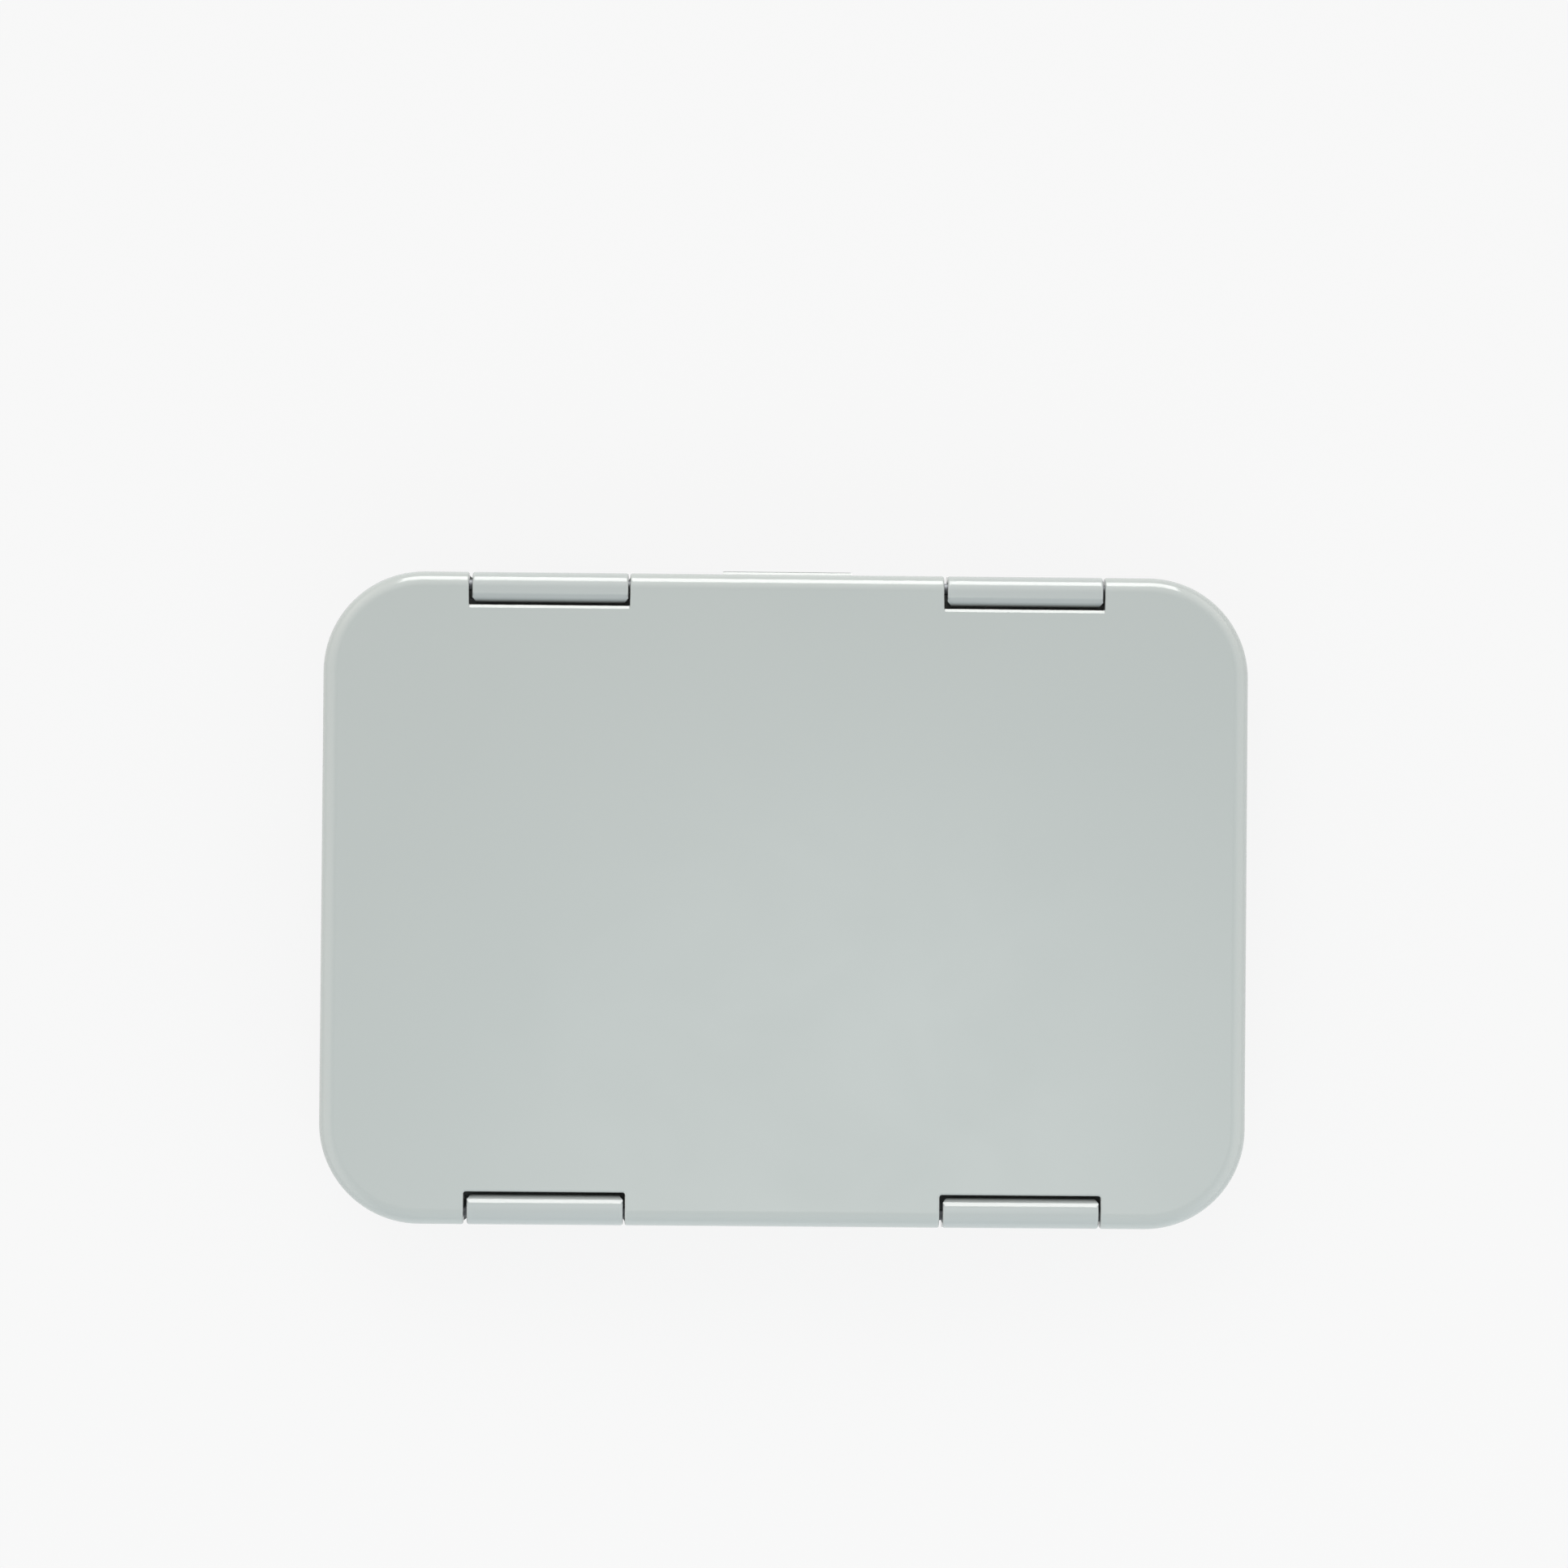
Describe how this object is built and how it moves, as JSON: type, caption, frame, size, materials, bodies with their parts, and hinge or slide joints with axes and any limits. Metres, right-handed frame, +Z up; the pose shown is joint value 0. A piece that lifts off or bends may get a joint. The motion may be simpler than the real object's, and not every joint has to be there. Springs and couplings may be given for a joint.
{
  "type": "wet palette",
  "caption": "Flat latching case with rounded corners and a full-width lid on snap clips, holding a water tray with a sponge and palette paper.",
  "frame": {"origin": "centre of the closed case's footprint, on the plane that the feet stand on", "axes": "+Z up through the lid, +X along the case's long side, -Y towards the front, where the two opening clips and the lift lip are, so the rear pair of clips that the lid turns on is at +Y"},
  "size_m": [0.23, 0.163, 0.032],
  "materials": {
    "case_plastic": "gloss",
    "clip_plastic": "gloss",
    "tray_plastic": "satin",
    "sponge": "matte",
    "palette_paper": "satin",
    "seal_silicone": "satin",
    "foot_rubber": "matte",
    "pin_steel": "satin"
  },
  "bodies": {
    "base": {"base_shell": "case_plastic", "foot_front_left": "foot_rubber", "foot_front_right": "foot_rubber", "foot_rear_left": "foot_rubber", "foot_rear_right": "foot_rubber", "inner_tray": "tray_plastic", "sponge": "sponge", "palette_paper": "palette_paper"},
    "lid": {"lid_cover": "case_plastic", "lid_liner": "tray_plastic", "lid_seal": "seal_silicone", "pin_front_left": "pin_steel", "pin_front_right": "pin_steel", "pin_rear_left": "pin_steel", "pin_rear_right": "pin_steel"},
    "front_clip_left": {"clip_front_left": "clip_plastic"},
    "front_clip_right": {"clip_front_right": "clip_plastic"},
    "rear_clip_left": {"clip_rear_left": "clip_plastic"},
    "rear_clip_right": {"clip_rear_right": "clip_plastic"}
  },
  "joints": [
    {"name": "lid_open", "type": "hinge", "parent": "base", "child": "lid", "pos_m": [0, 0.0777, 0.0282], "axis": [-1, 0, 0], "range_deg": [0, 180]},
    {"name": "front_clip_left_open", "type": "hinge", "parent": "lid", "child": "front_clip_left", "pos_m": [-0.059, -0.0777, 0.0282], "axis": [-1, 0, 0], "range_deg": [0, 110]},
    {"name": "front_clip_right_open", "type": "hinge", "parent": "lid", "child": "front_clip_right", "pos_m": [0.059, -0.0777, 0.0282], "axis": [-1, 0, 0], "range_deg": [0, 110]},
    {"name": "rear_clip_left_open", "type": "hinge", "parent": "base", "child": "rear_clip_left", "pos_m": [-0.059, 0.0777, 0.0282], "axis": [-1, 0, 0], "range_deg": [-110, 0]},
    {"name": "rear_clip_right_open", "type": "hinge", "parent": "base", "child": "rear_clip_right", "pos_m": [0.059, 0.0777, 0.0282], "axis": [-1, 0, 0], "range_deg": [-110, 0]}
  ]
}
